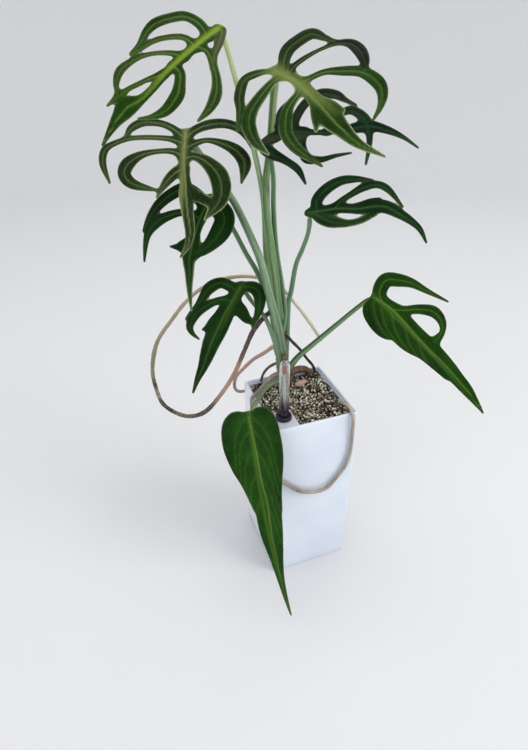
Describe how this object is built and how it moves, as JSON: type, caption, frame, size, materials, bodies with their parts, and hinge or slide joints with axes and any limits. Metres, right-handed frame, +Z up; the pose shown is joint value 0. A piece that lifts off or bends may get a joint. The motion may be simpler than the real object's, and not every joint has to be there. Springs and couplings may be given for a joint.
{
  "type": "potted split-leaf houseplant",
  "caption": "Tall square self-watering planter with a cut-leaf climbing aroid: perforated blades on long stalks, an entire heart blade and looping aerial roots.",
  "frame": {"origin": "centre of the planter's underside", "axes": "+Z up along the planter's height, -Y out of the planter face that faces the viewer most, +X to the viewer's right along that face"},
  "size_m": [0.332, 0.2064, 0.5498],
  "materials": {
    "gloss_white": "high gloss white",
    "satin_white": "satin white",
    "collar_black": "satin black",
    "clear_tube": "clear, polished",
    "rod_milky": "milky, satin",
    "flag_red": "satin red",
    "substrate": "rough, dry granules",
    "chip_pink": "rough",
    "stem_green": "dull, sheathed",
    "rhizome_bark": "rough bark",
    "blade_top_left": "semi-gloss leaf skin",
    "blade_top_right": "semi-gloss leaf skin",
    "blade_behind_right": "semi-gloss leaf skin",
    "blade_middle_left": "semi-gloss leaf skin",
    "blade_hanging_left": "semi-gloss leaf skin",
    "blade_middle_right": "semi-gloss leaf skin",
    "blade_small_left": "semi-gloss leaf skin",
    "blade_low_right": "semi-gloss leaf skin",
    "blade_heart_front": "semi-gloss leaf skin",
    "stalk_top_left": "waxy, satin",
    "stalk_top_right": "waxy, satin",
    "stalk_behind_right": "waxy, satin",
    "stalk_middle_left": "waxy, satin",
    "stalk_hanging_left": "waxy, satin",
    "stalk_middle_right": "waxy, satin",
    "stalk_small_left": "waxy, satin",
    "stalk_low_right": "waxy, satin",
    "stalk_heart_front": "waxy, satin",
    "root_long_loop_bark": "rough, dry",
    "root_behind_rim_bark": "rough, dry",
    "root_left_corner_bark": "rough, dry",
    "root_garland_bark": "rough, dry",
    "root_back_corner_bark": "rough, dry"
  },
  "bodies": {
    "root": {"planter": "gloss_white", "liner": "satin_white", "gauge_collar": "collar_black", "gauge_tube": "clear_tube", "gauge_rod": "rod_milky", "gauge_flag": "flag_red", "substrate": "substrate", "bark_chip": "chip_pink", "stem": "stem_green", "rhizome_stub": "rhizome_bark", "leaf_top_left": "blade_top_left", "leaf_top_right": "blade_top_right", "leaf_behind_right": "blade_behind_right", "leaf_middle_left": "blade_middle_left", "leaf_hanging_left": "blade_hanging_left", "leaf_middle_right": "blade_middle_right", "leaf_small_left": "blade_small_left", "leaf_low_right": "blade_low_right", "leaf_heart_front": "blade_heart_front", "petiole_top_left": "stalk_top_left", "petiole_top_right": "stalk_top_right", "petiole_behind_right": "stalk_behind_right", "petiole_middle_left": "stalk_middle_left", "petiole_hanging_left": "stalk_hanging_left", "petiole_middle_right": "stalk_middle_right", "petiole_small_left": "stalk_small_left", "petiole_low_right": "stalk_low_right", "petiole_heart_front": "stalk_heart_front", "root_long_loop": "root_long_loop_bark", "root_behind_rim": "root_behind_rim_bark", "root_left_corner": "root_left_corner_bark", "root_garland": "root_garland_bark", "root_back_corner": "root_back_corner_bark"}
  },
  "joints": []
}
